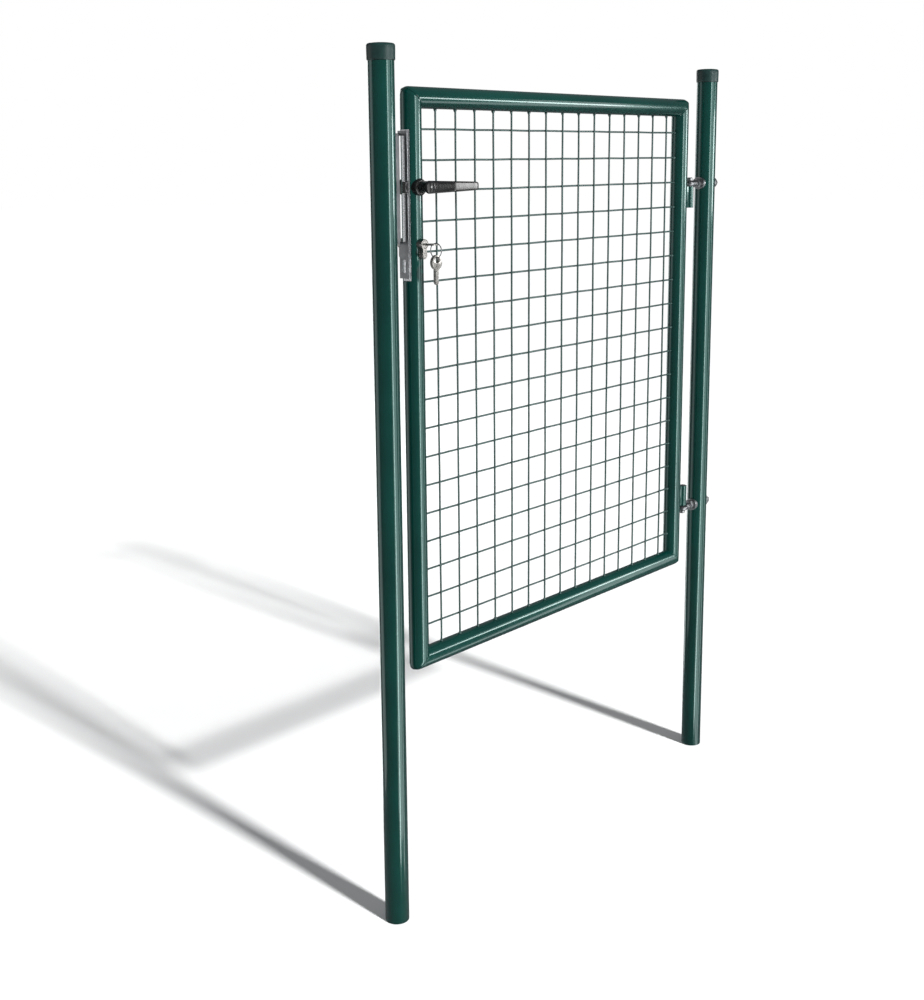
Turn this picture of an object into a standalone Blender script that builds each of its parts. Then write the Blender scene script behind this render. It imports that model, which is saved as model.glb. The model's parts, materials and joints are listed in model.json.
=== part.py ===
"""Garden gate: a green tubular leaf with a welded wire panel, hung between two round posts.

Everything is laid out in the gate's own coordinates, in metres: X runs from the lock stile to the
hinge stile, with 0 on the lock stile's axis; Y = 0 is the middle plane of the leaf, and -Y is the
side the leaf opens to; Z = 0 is the level of the posts' feet. The empty "gate_frame" then carries
the whole gate so that the origin is at the middle of its bounding box, at the feet.
"""

import math

import bmesh
import bpy
from mathutils import Matrix, Vector

# Fits between pieces
GAP = 0.0003
RUNNING_GAP = 0.0004

# Welded wire panel
MESH_PITCH = 0.050
MESH_COLUMNS = 15
MESH_ROWS = 18
WIRE_RADIUS = 0.0019
WIRE_LAYER_OFFSET = 0.0016
LOCK_SIDE_BAY = 0.0575
HINGE_SIDE_BAY = 0.054
BOTTOM_BAY = 0.0565
TOP_BAY = 0.050

# Leaf frame tube
TUBE_RADIUS = 0.0175
TUBE_WALL = 0.002
LEAF_CLEARANCE_BELOW = 0.450

# Posts and caps
POST_RADIUS = 0.0212
POST_WALL = 0.002
POST_HEIGHT = 1.500
CAP_RADIUS = 0.023
CAP_HEIGHT = 0.028
CAP_RISE = 0.006
CAP_EDGE = 0.0035
LOCK_GAP = 0.067
HINGE_AXIS_FROM_STILE = 0.0425
HINGE_AXIS_FROM_POST = 0.0605

# Hinges
UPPER_EYE_Z = 1.271
LOWER_EYE_Z = 0.570
EYE_RADIUS = 0.012
EYE_THICKNESS = 0.012
PIN_RADIUS = 0.0057
BARREL_RADIUS = 0.0085
BARREL_HEIGHT = 0.044
BRACKET_WEB = 0.006
PIN_OVERSHOOT = 0.006
BOLT_RADIUS = 0.0058
BOLT_BEYOND_POST = 0.024
NUT_RADIUS = 0.0104
NUT_THICKNESS = 0.010
WASHER_RADIUS = 0.013
WASHER_CROWN = 0.0045

# Lock, along X from the stile's axis
LEVER_Z = 1.281
CYLINDER_Z = LEVER_Z - 0.092
FOREND_FACE = -0.014
FOREND_THICKNESS = 0.0024
FOREND_HALF_WIDTH = 0.0085
FOREND_BOTTOM = 1.1285
FOREND_HEIGHT = 0.2445
CASE_BACK = 0.0125
CASE_HALF_WIDTH = 0.007
CASE_WALL = 0.0012
CASE_END_BLOCK = 0.012
FIXING_SCREW_RADIUS = 0.002
FIXING_SCREW_INSET = 0.0075
FIXING_SCREW_LENGTH = 0.016
CYLINDER_SCREW_RADIUS = 0.0022
CYLINDER_SCREW_DROP = 0.0185

# Follower, spindle and latch
FOLLOWER_RADIUS = 0.0076
FOLLOWER_NOSE_RADIUS = 0.014
FOLLOWER_NOSE_HALF = 0.0012
LEVER_TRAVEL = math.radians(45.0)
SPINDLE_SIDE = 0.0075
LATCH_PROTRUSION = 0.011
LATCH_HALF_WIDTH = 0.004
LATCH_HALF_HEIGHT = 0.0093
LATCH_NOSE = 0.006
LATCH_PLATE = 0.0014
LATCH_REAR = -0.0095
LATCH_SHOULDER_TOP = 0.024
LATCH_ARM_BOTTOM = 0.015
LATCH_TAB_START = -0.0031
LATCH_TAB_BOTTOM = 0.0115
SPRING_HEIGHT = 0.0202
SPRING_COIL_RADIUS = 0.0026
SPRING_WIRE_RADIUS = 0.0004
SPRING_TURNS = 6
SPRING_POINTS_PER_TURN = 8

# Deadbolt
BOLT_HALF_WIDTH = 0.004
BOLT_BOTTOM = 1.143
BOLT_TOP = 1.1625
BOLT_REAR = 0.007

# Profile cylinder and keys
CYLINDER_HEAD_RADIUS = 0.0085
CYLINDER_FOOT_RADIUS = 0.005
CYLINDER_DROP = 0.0245
CYLINDER_HALF_LENGTH = 0.0275
PLUG_RADIUS = 0.0065
CAM_HALF_WIDTH = 0.0040
CAM_RADIUS = 0.0105
CAM_SLOT_HALF = 0.0048
KEY_THICKNESS = 0.0022
KEY_BOW_RADIUS = 0.012
KEY_BLADE_HALF = 0.0041
KEY_BLADE_LENGTH = 0.0245
KEY_HOLE_RADIUS = 0.005
KEY_HOLE_OFFSET = 0.004
KEY_STAND_OFF = 0.0015
RING_RADIUS = 0.012
RING_WIRE_RADIUS = 0.001
RING_SLACK = 0.0005
SPARE_KEY_SLACK = 0.0008
SPARE_KEY_SPACING = 0.0016

# Levers
ROSE_RADIUS = 0.014
ROSE_FACE = 0.0215
NECK_RADIUS = 0.0088
LEVER_INNER_FACE = 0.036
LEVER_THICKNESS = 0.009
LEVER_ROOT_RADIUS = 0.0105
LEVER_TIP_HALF = 0.0070
LEVER_REACH = 0.118
LEVER_CORNER = 0.0040
SPINDLE_END = 0.0360

# Strike, along X from the lock post's axis
STRIKE_PLATE_X = 0.0466
STRIKE_THICKNESS = 0.002
STRIKE_HALF_WIDTH = 0.0103
STRIKE_BOTTOM = 1.133
STRIKE_TOP = 1.371
STRIKE_TOP_BAR = 0.008
STRIKE_BLOCK = 0.060
STRIKE_NEAR_BAR = 0.0059
LATCH_PASSAGE = 0.0007

# Facets round a full circle
TUBE_SIDES = 32
ROD_SIDES = 20

PAINT = ((0.012, 0.115, 0.095, 1.0), 0.30, 0.0)
WIRE_PAINT = ((0.045, 0.060, 0.058, 1.0), 0.40, 0.0)
CAP_PLASTIC = ((0.030, 0.075, 0.065, 1.0), 0.60, 0.0)
ZINC = ((0.60, 0.61, 0.62, 1.0), 0.35, 1.0)
BRIGHT_ZINC = ((0.72, 0.73, 0.74, 1.0), 0.22, 1.0)
DARK_STEEL = ((0.30, 0.30, 0.31, 1.0), 0.45, 1.0)
BLACK_PLASTIC = ((0.012, 0.012, 0.013, 1.0), 0.30, 0.0)
NICKEL = ((0.66, 0.63, 0.58, 1.0), 0.25, 1.0)

# Places worked out from the dimensions above
FIRST_COLUMN_X = LOCK_SIDE_BAY
HINGE_STILE_X = LOCK_SIDE_BAY + (MESH_COLUMNS - 1) * MESH_PITCH + HINGE_SIDE_BAY
LOCK_POST_X = -LOCK_GAP
HINGE_AXIS_X = HINGE_STILE_X + HINGE_AXIS_FROM_STILE
HINGE_POST_X = HINGE_AXIS_X + HINGE_AXIS_FROM_POST
BOTTOM_RAIL_Z = LEAF_CLEARANCE_BELOW + TUBE_RADIUS
FIRST_ROW_Z = BOTTOM_RAIL_Z + BOTTOM_BAY
TOP_RAIL_Z = FIRST_ROW_Z + (MESH_ROWS - 1) * MESH_PITCH + TOP_BAY
FOREND_TOP = FOREND_BOTTOM + FOREND_HEIGHT
FOREND_BACK = FOREND_FACE + FOREND_THICKNESS
CASE_FRONT = FOREND_BACK + GAP
CASE_BOTTOM = FOREND_BOTTOM + 0.0015
CASE_TOP = FOREND_TOP - 0.0015
LATCH_TIP = FOREND_FACE - LATCH_PROTRUSION
STRIKE_X = LOCK_POST_X + STRIKE_PLATE_X
BOLT_END_X = HINGE_POST_X + POST_RADIUS + BOLT_BEYOND_POST
LEVER_FACE = LEVER_INNER_FACE + LEVER_THICKNESS
KEY_BOW_Y = -(CYLINDER_HALF_LENGTH + KEY_STAND_OFF + KEY_BOW_RADIUS)
KEY_HOLE_Y = KEY_BOW_Y - KEY_HOLE_OFFSET
KEY_END_STRIP_Y = KEY_BOW_Y - (KEY_BOW_RADIUS + KEY_HOLE_OFFSET + KEY_HOLE_RADIUS) / 2
RING_CENTRE_Z = (
    CYLINDER_Z + KEY_THICKNESS / 2 + RING_SLACK - (RING_RADIUS - RING_WIRE_RADIUS)
)
RING_FOOT_Z = RING_CENTRE_Z - RING_RADIUS
RING_FRONT_Y = KEY_END_STRIP_Y - RING_RADIUS - RING_WIRE_RADIUS
LOW_X = LOCK_POST_X - CAP_RADIUS
FRAME_SHIFT = Vector((-(LOW_X + BOLT_END_X) / 2, -(RING_FRONT_Y + LEVER_FACE) / 2, 0.0))


# Scene and helpers


def clear_scene():
    for obj in list(bpy.data.objects):
        bpy.data.objects.remove(obj, do_unlink=True)
    for collection in list(bpy.data.collections):
        bpy.data.collections.remove(collection)


def new_collection(name):
    collection = bpy.data.collections.new(name)
    bpy.context.scene.collection.children.link(collection)
    return collection


def finish(obj, look):
    """Give a piece its own material and smooth shading across its round faces."""
    colour, roughness, metallic = look
    material = bpy.data.materials.new(obj.name + "_finish")
    material.use_nodes = True
    shader = material.node_tree.nodes["Principled BSDF"]
    shader.inputs["Base Color"].default_value = colour
    shader.inputs["Roughness"].default_value = roughness
    shader.inputs["Metallic"].default_value = metallic
    material.diffuse_color = colour
    obj.data.materials.clear()
    obj.data.materials.append(material)
    obj.data.shade_smooth()
    obj.data.set_sharp_from_angle(angle=math.radians(35.0))


def add_piece(name, mesh, look=None):
    """A named sub-part when it has a look, otherwise a hidden cutter."""
    obj = bpy.data.objects.new(name, mesh)
    obj.parent = FRAME
    if look is None:
        CUTTERS.objects.link(obj)
        obj.hide_render = True
        obj.display_type = "WIRE"
    else:
        PARTS.objects.link(obj)
        finish(obj, look)
    return obj


def mesh_from(bm, name):
    bmesh.ops.recalc_face_normals(bm, faces=bm.faces)
    mesh = bpy.data.meshes.new(name)
    bm.to_mesh(mesh)
    bm.free()
    return mesh


def box(name, low, high, look=None):
    low = Vector(low)
    high = Vector(high)
    bm = bmesh.new()
    size = Matrix.Diagonal((*(high - low), 1.0))
    bmesh.ops.create_cube(bm, size=1.0, matrix=Matrix.Translation((low + high) / 2) @ size)
    return add_piece(name, mesh_from(bm, name), look)


def rod(name, start, end, radius, sides=ROD_SIDES, look=None):
    """A solid cylinder between two points."""
    start = Vector(start)
    end = Vector(end)
    along = end - start
    turn = along.to_track_quat("Z", "Y").to_matrix().to_4x4()
    bm = bmesh.new()
    bmesh.ops.create_cone(
        bm,
        cap_ends=True,
        segments=sides,
        radius1=radius,
        radius2=radius,
        depth=along.length,
        matrix=Matrix.Translation((start + end) / 2) @ turn,
    )
    return add_piece(name, mesh_from(bm, name), look)


def outline_solid(name, points, thickness, matrix, look=None):
    """A flat outline in local XY, extruded by its thickness about its middle plane."""
    curve = bpy.data.curves.new(name + "_outline", "CURVE")
    curve.dimensions = "2D"
    curve.fill_mode = "BOTH"
    curve.extrude = thickness / 2
    spline = curve.splines.new("POLY")
    spline.points.add(len(points) - 1)
    for point, (x, y) in zip(spline.points, points):
        point.co = (x, y, 0.0, 1.0)
    spline.use_cyclic_u = True
    guide = bpy.data.objects.new(name + "_guide", curve)
    CUTTERS.objects.link(guide)
    mesh = closed_mesh_of(guide, name)
    mesh.transform(matrix)
    return add_piece(name, mesh, look)


def closed_mesh_of(guide, name):
    """The welded mesh of a curve or of an object with modifiers; the guide is removed."""
    bpy.context.view_layer.update()
    evaluated = guide.evaluated_get(bpy.context.evaluated_depsgraph_get())
    mesh = bpy.data.meshes.new_from_object(evaluated)
    mesh.name = name
    bm = bmesh.new()
    bm.from_mesh(mesh)
    bmesh.ops.remove_doubles(bm, verts=bm.verts, dist=1e-6)
    bmesh.ops.recalc_face_normals(bm, faces=bm.faces)
    bm.to_mesh(mesh)
    bm.free()
    bpy.data.objects.remove(guide, do_unlink=True)
    return mesh


def turned(name, profile, sides, centre, look=None):
    """A profile of (radius, height) points, turned about a vertical axis."""
    mesh = bpy.data.meshes.new(name + "_profile")
    corners = [(radius, 0.0, height) for radius, height in profile]
    edges = [(i, i + 1) for i in range(len(profile) - 1)]
    mesh.from_pydata(corners, edges, [])
    guide = bpy.data.objects.new(name + "_guide", mesh)
    CUTTERS.objects.link(guide)
    screw = guide.modifiers.new("turn", "SCREW")
    screw.steps = sides
    screw.render_steps = sides
    screw.use_merge_vertices = True
    screw.merge_threshold = 1e-5
    mesh = closed_mesh_of(guide, name)
    mesh.transform(Matrix.Translation(centre))
    return add_piece(name, mesh, look)


def combine(target, other, operation):
    modifier = target.modifiers.new(other.name, "BOOLEAN")
    modifier.operation = operation
    modifier.solver = "EXACT"
    modifier.object = other


def cut(target, *cutters):
    for cutter in cutters:
        combine(target, cutter, "DIFFERENCE")


def weld(target, *others):
    for other in others:
        combine(target, other, "UNION")


def set_origin(obj, point):
    """Move an object's origin to a point on its joint's axis, leaving the shape in place."""
    point = Vector(point)
    obj.data.transform(Matrix.Translation(-point))
    obj.location = point


def circle(centre, radius, start, end, count):
    """Points along an arc, both ends included; the angles are in radians."""
    step = (end - start) / (count - 1)
    return [
        (
            centre[0] + radius * math.cos(start + i * step),
            centre[1] + radius * math.sin(start + i * step),
        )
        for i in range(count)
    ]


def across_y(x, z, radius, half_length, name, sides=ROD_SIDES):
    """A cutter that runs through the leaf along Y."""
    return rod(name, (x, -half_length, z), (x, half_length, z), radius, sides)


# Posts


def build_posts():
    for side, x in (("lock", LOCK_POST_X), ("hinge", HINGE_POST_X)):
        name = side + "_post"
        post = rod(name, (x, 0, 0), (x, 0, POST_HEIGHT), POST_RADIUS, TUBE_SIDES, PAINT)
        inside = POST_RADIUS - POST_WALL
        bore = rod(name + "_bore", (x, 0, -0.01), (x, 0, POST_HEIGHT + 0.01), inside, TUBE_SIDES)
        cut(post, bore)
        if side == "hinge":
            cut(post, *bolt_holes(x))
        build_cap(side, x)


def bolt_holes(x):
    reach = POST_RADIUS + 0.01
    return [
        rod(f"bolt_hole_{level}", (x - reach, 0, z), (x + reach, 0, z), BOLT_RADIUS + GAP)
        for level, z in (("upper", UPPER_EYE_Z), ("lower", LOWER_EYE_Z))
    ]


def build_cap(side, x):
    """A push-on cap: a skirt round the post's end under a slightly domed top."""
    top = CAP_RISE
    skirt = POST_RADIUS + GAP
    profile = [
        (0.0, top),
        (CAP_RADIUS - CAP_EDGE, top - 0.0008),
        (CAP_RADIUS - 0.0010, top - CAP_EDGE * 0.45),
        (CAP_RADIUS, top - CAP_EDGE - 0.0006),
        (CAP_RADIUS - 0.0002, top - CAP_HEIGHT + 0.0030),
        (skirt + 0.0007, top - CAP_HEIGHT),
        (skirt, top - CAP_HEIGHT),
        (skirt, GAP),
        (0.0, GAP),
    ]
    turned(side + "_post_cap", profile, TUBE_SIDES, (x, 0, POST_HEIGHT), CAP_PLASTIC)


# Leaf frame


def mitre_cutter(name, corner_x, corner_z, into_x, into_z, keeps_rail):
    """A block whose face lies on the 45 degree joint between a rail and a stile.

    into_x and into_z point from the corner along the rail and along the stile.
    """
    side = 0.12
    normal = Vector((into_x, 0.0, -into_z)).normalized()
    away = -1.0 if keeps_rail else 1.0
    middle = Vector((corner_x, 0.0, corner_z)) + normal * away * (side / 2 - GAP / 2)
    turn = normal.to_track_quat("Z", "Y").to_matrix().to_4x4()
    bm = bmesh.new()
    bmesh.ops.create_cube(bm, size=side, matrix=Matrix.Translation(middle) @ turn)
    return add_piece(name, mesh_from(bm, name))


def frame_tube(name, start, end):
    tube = rod(name, start, end, TUBE_RADIUS, TUBE_SIDES, PAINT)
    along = (Vector(end) - Vector(start)).normalized() * 0.01
    inside = TUBE_RADIUS - TUBE_WALL
    cut(tube, rod(name + "_bore", Vector(start) - along, Vector(end) + along, inside, TUBE_SIDES))
    return tube


def build_leaf_frame():
    spare = TUBE_RADIUS + 0.003
    low_x, high_x = -spare, HINGE_STILE_X + spare
    low_z, high_z = BOTTOM_RAIL_Z - spare, TOP_RAIL_Z + spare
    tubes = {
        "top_rail": frame_tube("top_rail", (low_x, 0, TOP_RAIL_Z), (high_x, 0, TOP_RAIL_Z)),
        "bottom_rail": frame_tube("bottom_rail", (low_x, 0, BOTTOM_RAIL_Z), (high_x, 0, BOTTOM_RAIL_Z)),
        "lock_stile": frame_tube("lock_stile", (0, 0, low_z), (0, 0, high_z)),
        "hinge_stile": frame_tube("hinge_stile", (HINGE_STILE_X, 0, low_z), (HINGE_STILE_X, 0, high_z)),
    }
    for rail, z, into_z in (("top_rail", TOP_RAIL_Z, -1), ("bottom_rail", BOTTOM_RAIL_Z, 1)):
        for stile, x, into_x in (("lock_stile", 0.0, 1), ("hinge_stile", HINGE_STILE_X, -1)):
            corner = f"mitre_{rail}_{stile}"
            cut(tubes[rail], mitre_cutter(corner + "_rail", x, z, into_x, into_z, True))
            cut(tubes[stile], mitre_cutter(corner + "_stile", x, z, into_x, into_z, False))
    return tubes["lock_stile"]


def wires(name, starts_and_ends):
    """Straight square wires, set on edge, in one mesh."""
    bm = bmesh.new()
    for start, end in starts_and_ends:
        start = Vector(start)
        end = Vector(end)
        along = end - start
        turn = along.to_track_quat("Z", "Y").to_matrix().to_4x4()
        bmesh.ops.create_cone(
            bm,
            cap_ends=True,
            segments=4,
            radius1=WIRE_RADIUS,
            radius2=WIRE_RADIUS,
            depth=along.length,
            matrix=Matrix.Translation((start + end) / 2) @ turn,
        )
    return mesh_from(bm, name)


def build_wire_mesh():
    reach = TUBE_RADIUS + GAP
    low_x, high_x = reach, HINGE_STILE_X - reach
    low_z, high_z = BOTTOM_RAIL_Z + reach, TOP_RAIL_Z - reach
    front, back = -WIRE_LAYER_OFFSET, WIRE_LAYER_OFFSET
    uprights = []
    for column in range(MESH_COLUMNS):
        x = FIRST_COLUMN_X + column * MESH_PITCH
        uprights.append(((x, front, low_z), (x, front, high_z)))
    crosswires = []
    for row in range(MESH_ROWS):
        z = FIRST_ROW_Z + row * MESH_PITCH
        crosswires.append(((low_x, back, z), (high_x, back, z)))
    panel = add_piece("wire_mesh", wires("wire_mesh", uprights), WIRE_PAINT)
    weld(panel, add_piece("crosswires", wires("crosswires", crosswires)))


# Hinges


def saddle_washer(name, face_x, z, outward):
    """A round washer hollowed to sit on the hinge post; outward is -1 or 1 along X."""
    deep = POST_RADIUS - math.sqrt(POST_RADIUS**2 - WASHER_RADIUS**2)
    start = face_x - outward * deep
    end = face_x + outward * (GAP + WASHER_CROWN)
    washer = rod(name, (start, 0, z), (end, 0, z), WASHER_RADIUS, ROD_SIDES, ZINC)
    seat_low, seat_high = (HINGE_POST_X, 0, z - 0.03), (HINGE_POST_X, 0, z + 0.03)
    cut(washer, rod(name + "_seat", seat_low, seat_high, POST_RADIUS + GAP, TUBE_SIDES))
    cut(washer, rod(name + "_hole", (start - 0.02, 0, z), (end + 0.02, 0, z), BOLT_RADIUS + GAP))
    return end


def hex_nut(name, start_x, z, outward):
    end_x = start_x + outward * NUT_THICKNESS
    nut = rod(name, (start_x, 0, z), (end_x, 0, z), NUT_RADIUS, 6, ZINC)
    cut(nut, rod(name + "_thread", (start_x - 0.02, 0, z), (end_x + 0.02, 0, z), BOLT_RADIUS + GAP))


def build_eyebolt(level, z):
    """An eye round the hinge pin, with a threaded shank through the post and two nuts."""
    low, high = z - EYE_THICKNESS / 2, z + EYE_THICKNESS / 2
    name = level + "_eyebolt"
    eyebolt = rod(name, (HINGE_AXIS_X, 0, low), (HINGE_AXIS_X, 0, high), EYE_RADIUS, 24, ZINC)
    shank_start = HINGE_AXIS_X + (EYE_RADIUS + PIN_RADIUS) / 2
    weld(eyebolt, rod(name + "_shank", (shank_start, 0, z), (BOLT_END_X, 0, z), BOLT_RADIUS))
    hole = PIN_RADIUS + RUNNING_GAP
    cut(eyebolt, rod(name + "_hole", (HINGE_AXIS_X, 0, low - 0.01), (HINGE_AXIS_X, 0, high + 0.01), hole, 24))
    for side, outward in (("inner", -1), ("outer", 1)):
        face_x = HINGE_POST_X + outward * POST_RADIUS
        washer_end = saddle_washer(f"{name}_{side}_washer", face_x, z, outward)
        hex_nut(f"{name}_{side}_nut", washer_end + outward * GAP, z, outward)


def build_hinge(level, eye_z, up):
    """The welded barrel and its pin; up is 1 where the barrel is above the eye, -1 below it."""
    face = eye_z + up * (EYE_THICKNESS / 2 + GAP)
    far = face + up * BARREL_HEIGHT
    low, high = min(face, far), max(face, far)
    name = level + "_hinge_barrel"
    barrel = rod(name, (HINGE_AXIS_X, 0, low), (HINGE_AXIS_X, 0, high), BARREL_RADIUS, 24, PAINT)
    web_low = (HINGE_STILE_X + TUBE_RADIUS - 0.004, -BRACKET_WEB / 2, low)
    web_high = (HINGE_AXIS_X - PIN_RADIUS, BRACKET_WEB / 2, high)
    weld(barrel, box(name + "_web", web_low, web_high))
    stile_low = (HINGE_STILE_X, 0, low - 0.01)
    stile_high = (HINGE_STILE_X, 0, high + 0.01)
    cut(barrel, rod(name + "_stile", stile_low, stile_high, TUBE_RADIUS + GAP, TUBE_SIDES))
    bore = PIN_RADIUS + GAP
    cut(barrel, rod(name + "_bore", (HINGE_AXIS_X, 0, low - 0.01), (HINGE_AXIS_X, 0, high + 0.01), bore, 24))
    pin_far = eye_z - up * (EYE_THICKNESS / 2 + PIN_OVERSHOOT)
    pin = rod(level + "_hinge_pin", (HINGE_AXIS_X, 0, pin_far), (HINGE_AXIS_X, 0, far), PIN_RADIUS, 24, ZINC)
    set_origin(barrel, (HINGE_AXIS_X, 0, eye_z))
    set_origin(pin, (HINGE_AXIS_X, 0, eye_z))


def build_hinges():
    build_eyebolt("upper", UPPER_EYE_Z)
    build_eyebolt("lower", LOWER_EYE_Z)
    build_hinge("upper", UPPER_EYE_Z, -1)
    build_hinge("lower", LOWER_EYE_Z, 1)


# Lock body


def pear(clearance):
    """The outline of a profile cylinder, in X and Z about the plug's axis."""
    head = CYLINDER_HEAD_RADIUS + clearance
    foot = CYLINDER_FOOT_RADIUS + clearance
    foot_z = CYLINDER_FOOT_RADIUS - CYLINDER_DROP
    neck = math.acos(foot / head)
    return circle((0.0, 0.0), head, -neck, math.pi + neck, 19) + circle(
        (0.0, foot_z), foot, math.pi, 2 * math.pi, 9
    )


def pear_solid(name, clearance, half_length, look=None):
    """A profile cylinder's outline run along Y through the leaf."""
    matrix = Matrix.Translation((0, 0, CYLINDER_Z)) @ Matrix.Rotation(math.pi / 2, 4, "X")
    return outline_solid(name, pear(clearance), 2 * half_length, matrix, look)


def cut_lock_stile(stile):
    """Open the stile for the forend, the spindle and the cylinder."""
    low_z, high_z = FOREND_BOTTOM - GAP, FOREND_TOP + GAP
    far = -0.03
    cut(stile, box("stile_flat", (far, -0.02, low_z), (FOREND_FACE, 0.02, high_z)))
    seat = FOREND_HALF_WIDTH + GAP
    cut(stile, box("stile_seat", (far, -seat, low_z), (FOREND_BACK + GAP, seat, high_z)))
    cut(stile, across_y(0, LEVER_Z, SPINDLE_SIDE * 0.75, 0.03, "stile_spindle_hole"))
    cut(stile, pear_solid("stile_cylinder_hole", GAP, 0.03))


def fixing_screw_heights():
    return FOREND_BOTTOM + FIXING_SCREW_INSET, FOREND_TOP - FIXING_SCREW_INSET


def countersunk(name, face_x, z, radius, length, look=None):
    """A countersunk screw, or its seat, along X with its head's face at face_x."""
    head = radius * 1.95
    profile = [
        (0.0, 0.0),
        (head, 0.0),
        (head, -0.0003),
        (radius, -0.0003 - (head - radius)),
        (radius, -length),
        (0.0, -length),
    ]
    screw = turned(name, profile, ROD_SIDES, (0, 0, 0), look)
    place = Matrix.Translation((face_x, 0, z)) @ Matrix.Rotation(-math.pi / 2, 4, "Y")
    screw.data.transform(place)
    return screw


def build_forend():
    low = (FOREND_FACE, -FOREND_HALF_WIDTH, FOREND_BOTTOM)
    high = (FOREND_BACK, FOREND_HALF_WIDTH, FOREND_TOP)
    forend = box("lock_forend", low, high, BRIGHT_ZINC)
    latch_low = (-0.02, -LATCH_HALF_WIDTH - GAP, LEVER_Z - LATCH_HALF_HEIGHT - GAP)
    latch_high = (0.0, LATCH_HALF_WIDTH + GAP, LEVER_Z + LATCH_HALF_HEIGHT + GAP)
    cut(forend, box("forend_latch_hole", latch_low, latch_high))
    bolt_low = (-0.02, -BOLT_HALF_WIDTH - GAP, BOLT_BOTTOM - GAP)
    bolt_high = (0.0, BOLT_HALF_WIDTH + GAP, BOLT_TOP + GAP)
    cut(forend, box("forend_bolt_hole", bolt_low, bolt_high))
    for level, z in zip(("lower", "upper"), fixing_screw_heights()):
        countersunk(f"forend_screw_{level}", FOREND_FACE, z, FIXING_SCREW_RADIUS, FIXING_SCREW_LENGTH, ZINC)
        seat = FIXING_SCREW_RADIUS + GAP
        cut(forend, countersunk(f"forend_seat_{level}", FOREND_FACE, z, seat, FIXING_SCREW_LENGTH + GAP))
    z = CYLINDER_Z - CYLINDER_SCREW_DROP
    length = CYLINDER_FOOT_RADIUS - FOREND_FACE + 0.001
    countersunk("cylinder_screw", FOREND_FACE, z, CYLINDER_SCREW_RADIUS, length, ZINC)
    cut(forend, countersunk("forend_seat_cylinder", FOREND_FACE, z, CYLINDER_SCREW_RADIUS + GAP, length))


def build_lock_case():
    """A narrow box, open towards the forend, with a thick block at each end for the screws."""
    low = (CASE_FRONT, -CASE_HALF_WIDTH, CASE_BOTTOM)
    high = (CASE_BACK, CASE_HALF_WIDTH, CASE_TOP)
    case = box("lock_case", low, high, DARK_STEEL)
    inner = CASE_HALF_WIDTH - CASE_WALL
    inside_low = (CASE_FRONT - 0.01, -inner, CASE_BOTTOM + CASE_END_BLOCK)
    inside_high = (CASE_BACK - CASE_WALL, inner, CASE_TOP - CASE_END_BLOCK)
    cut(case, box("case_inside", inside_low, inside_high))
    cut(case, across_y(0, LEVER_Z, FOLLOWER_RADIUS + GAP, 0.03, "case_follower_hole", 24))
    cut(case, pear_solid("case_cylinder_hole", GAP, 0.03))
    for level, z in zip(("lower", "upper"), fixing_screw_heights()):
        radius = FIXING_SCREW_RADIUS + GAP
        cut(case, rod(f"case_screw_hole_{level}", (-0.02, 0, z), (0.03, 0, z), radius))


def build_rose(side, outward):
    """The lever's rose, hollowed to sit on the round stile; outward is -1 or 1 along Y."""
    name = side + "_rose"
    start, end = (0, outward * 0.006, LEVER_Z), (0, outward * ROSE_FACE, LEVER_Z)
    rose = rod(name, start, end, ROSE_RADIUS, 28, BLACK_PLASTIC)
    seat_low, seat_high = (0, 0, LEVER_Z - 0.03), (0, 0, LEVER_Z + 0.03)
    cut(rose, rod(name + "_seat", seat_low, seat_high, TUBE_RADIUS + GAP, TUBE_SIDES))
    cut(rose, across_y(0, LEVER_Z, SPINDLE_SIDE * 0.75, 0.03, name + "_hole"))


# Levers, spindle, follower and latch


def lever_outline():
    """The lever seen from the front, about the spindle: a round root and a tapering blade."""
    tip_x = LEVER_REACH - LEVER_CORNER
    tip_z = LEVER_TIP_HALF - LEVER_CORNER
    taper = math.atan2(LEVER_ROOT_RADIUS - LEVER_TIP_HALF, LEVER_REACH)
    root = circle((0.0, 0.0), LEVER_ROOT_RADIUS, math.pi / 2 - taper, 1.5 * math.pi + taper, 13)
    lower = circle((tip_x, -tip_z), LEVER_CORNER, -math.pi / 2 + taper, 0.0, 4)
    upper = circle((tip_x, tip_z), LEVER_CORNER, 0.0, math.pi / 2 - taper, 4)
    return root + lower + upper


def build_lever(side, outward):
    name = side + "_lever"
    middle = outward * (LEVER_INNER_FACE + LEVER_THICKNESS / 2)
    matrix = Matrix.Translation((0, middle, LEVER_Z)) @ Matrix.Rotation(math.pi / 2, 4, "X")
    lever = outline_solid(name, lever_outline(), LEVER_THICKNESS, matrix, BLACK_PLASTIC)
    rounding = lever.modifiers.new("rounding", "BEVEL")
    rounding.width = 0.0012
    rounding.segments = 1
    rounding.limit_method = "ANGLE"
    rounding.angle_limit = math.radians(60.0)
    neck_start = (0, outward * (ROSE_FACE + GAP), LEVER_Z)
    neck_end = (0, outward * (LEVER_INNER_FACE + 0.002), LEVER_Z)
    weld(lever, rod(name + "_neck", neck_start, neck_end, NECK_RADIUS, 24))
    half = SPINDLE_SIDE / 2 + GAP
    deep = outward * (SPINDLE_END + GAP)
    socket_low = (-half, min(deep, 0.0), LEVER_Z - half)
    socket_high = (half, max(deep, 0.0), LEVER_Z + half)
    cut(lever, box(name + "_socket", socket_low, socket_high))
    set_origin(lever, (0, 0, LEVER_Z))


def build_spindle():
    half = SPINDLE_SIDE / 2
    low = (-half, -SPINDLE_END, LEVER_Z - half)
    high = (half, SPINDLE_END, LEVER_Z + half)
    set_origin(box("lever_spindle", low, high, ZINC), (0, 0, LEVER_Z))


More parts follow.
